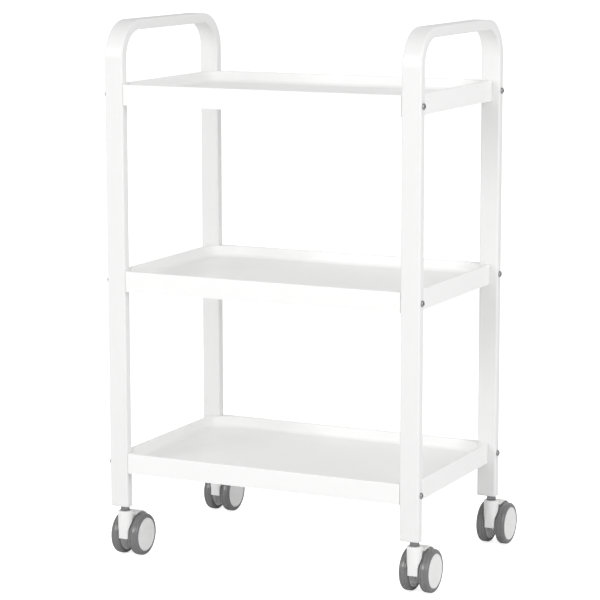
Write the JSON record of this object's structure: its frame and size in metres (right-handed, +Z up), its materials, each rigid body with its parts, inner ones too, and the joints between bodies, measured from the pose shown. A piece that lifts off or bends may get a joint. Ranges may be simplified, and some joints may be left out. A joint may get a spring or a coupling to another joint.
{
  "type": "rolling salon trolley",
  "caption": "White rolling trolley with shallow trays between U-shaped tube ends that form the handles, on twin-wheel swivel casters.",
  "frame": {"origin": "on the floor, under the middle of the whole outline, casters included", "axes": "+Z up, X along the trays, +Y to the back, so the front is at -Y; the casters trail towards +Y at rest"},
  "size_m": [0.5164, 0.3614, 0.8],
  "materials": {
    "frame_paint": "white powder coat, semi gloss",
    "tray_plastic": "white moulded plastic, soft sheen",
    "plug_plastic": "white moulded plastic",
    "screw_steel": "zinc plated steel",
    "stem_steel": "zinc plated steel",
    "caster_plastic": "white nylon",
    "core_plastic": "grey nylon",
    "tyre_rubber": "dark grey soft tread",
    "cap_plastic": "white moulded plastic"
  },
  "bodies": {
    "root": {"left_end_frame": "frame_paint", "right_end_frame": "frame_paint", "bottom_tray": "tray_plastic", "middle_tray": "tray_plastic", "top_tray": "tray_plastic", "tray_screws": "screw_steel", "tray_nuts": "screw_steel", "stem_nuts": "stem_steel", "stem_washers": "stem_steel", "tube_plug_fl": "plug_plastic", "caster_fl_stem": "stem_steel", "tube_plug_fr": "plug_plastic", "caster_fr_stem": "stem_steel", "tube_plug_bl": "plug_plastic", "caster_bl_stem": "stem_steel", "tube_plug_br": "plug_plastic", "caster_br_stem": "stem_steel"},
    "caster_fl": {"caster_fl_housing": "caster_plastic", "caster_fl_axle": "stem_steel", "caster_fl_clips": "stem_steel"},
    "wheel_fl_left": {"wheel_fl_left_core": "core_plastic", "wheel_fl_left_tyre": "tyre_rubber", "wheel_fl_left_cap": "cap_plastic"},
    "wheel_fl_right": {"wheel_fl_right_core": "core_plastic", "wheel_fl_right_tyre": "tyre_rubber", "wheel_fl_right_cap": "cap_plastic"},
    "caster_fr": {"caster_fr_housing": "caster_plastic", "caster_fr_axle": "stem_steel", "caster_fr_clips": "stem_steel"},
    "wheel_fr_left": {"wheel_fr_left_core": "core_plastic", "wheel_fr_left_tyre": "tyre_rubber", "wheel_fr_left_cap": "cap_plastic"},
    "wheel_fr_right": {"wheel_fr_right_core": "core_plastic", "wheel_fr_right_tyre": "tyre_rubber", "wheel_fr_right_cap": "cap_plastic"},
    "caster_bl": {"caster_bl_housing": "caster_plastic", "caster_bl_axle": "stem_steel", "caster_bl_clips": "stem_steel"},
    "wheel_bl_left": {"wheel_bl_left_core": "core_plastic", "wheel_bl_left_tyre": "tyre_rubber", "wheel_bl_left_cap": "cap_plastic"},
    "wheel_bl_right": {"wheel_bl_right_core": "core_plastic", "wheel_bl_right_tyre": "tyre_rubber", "wheel_bl_right_cap": "cap_plastic"},
    "caster_br": {"caster_br_housing": "caster_plastic", "caster_br_axle": "stem_steel", "caster_br_clips": "stem_steel"},
    "wheel_br_left": {"wheel_br_left_core": "core_plastic", "wheel_br_left_tyre": "tyre_rubber", "wheel_br_left_cap": "cap_plastic"},
    "wheel_br_right": {"wheel_br_right_core": "core_plastic", "wheel_br_right_tyre": "tyre_rubber", "wheel_br_right_cap": "cap_plastic"}
  },
  "joints": [
    {"name": "caster_fl_swivel", "type": "hinge", "parent": "root", "child": "caster_fl", "pos_m": [-0.23442, -0.16975, 0.06], "axis": [0, 0, 1], "continuous": true},
    {"name": "wheel_fl_left_spin", "type": "hinge", "parent": "caster_fl", "child": "wheel_fl_left", "pos_m": [-0.23442, -0.14575, 0.0315], "axis": [1, 0, 0], "continuous": true},
    {"name": "wheel_fl_right_spin", "type": "hinge", "parent": "caster_fl", "child": "wheel_fl_right", "pos_m": [-0.23442, -0.14575, 0.0315], "axis": [1, 0, 0], "continuous": true},
    {"name": "caster_fr_swivel", "type": "hinge", "parent": "root", "child": "caster_fr", "pos_m": [0.23557, -0.16975, 0.06], "axis": [0, 0, 1], "continuous": true},
    {"name": "wheel_fr_left_spin", "type": "hinge", "parent": "caster_fr", "child": "wheel_fr_left", "pos_m": [0.23557, -0.14575, 0.0315], "axis": [1, 0, 0], "continuous": true},
    {"name": "wheel_fr_right_spin", "type": "hinge", "parent": "caster_fr", "child": "wheel_fr_right", "pos_m": [0.23557, -0.14575, 0.0315], "axis": [1, 0, 0], "continuous": true},
    {"name": "caster_bl_swivel", "type": "hinge", "parent": "root", "child": "caster_bl", "pos_m": [-0.23442, 0.12525, 0.06], "axis": [0, 0, 1], "continuous": true},
    {"name": "wheel_bl_left_spin", "type": "hinge", "parent": "caster_bl", "child": "wheel_bl_left", "pos_m": [-0.23442, 0.14925, 0.0315], "axis": [1, 0, 0], "continuous": true},
    {"name": "wheel_bl_right_spin", "type": "hinge", "parent": "caster_bl", "child": "wheel_bl_right", "pos_m": [-0.23442, 0.14925, 0.0315], "axis": [1, 0, 0], "continuous": true},
    {"name": "caster_br_swivel", "type": "hinge", "parent": "root", "child": "caster_br", "pos_m": [0.23557, 0.12525, 0.06], "axis": [0, 0, 1], "continuous": true},
    {"name": "wheel_br_left_spin", "type": "hinge", "parent": "caster_br", "child": "wheel_br_left", "pos_m": [0.23557, 0.14925, 0.0315], "axis": [1, 0, 0], "continuous": true},
    {"name": "wheel_br_right_spin", "type": "hinge", "parent": "caster_br", "child": "wheel_br_right", "pos_m": [0.23557, 0.14925, 0.0315], "axis": [1, 0, 0], "continuous": true}
  ]
}
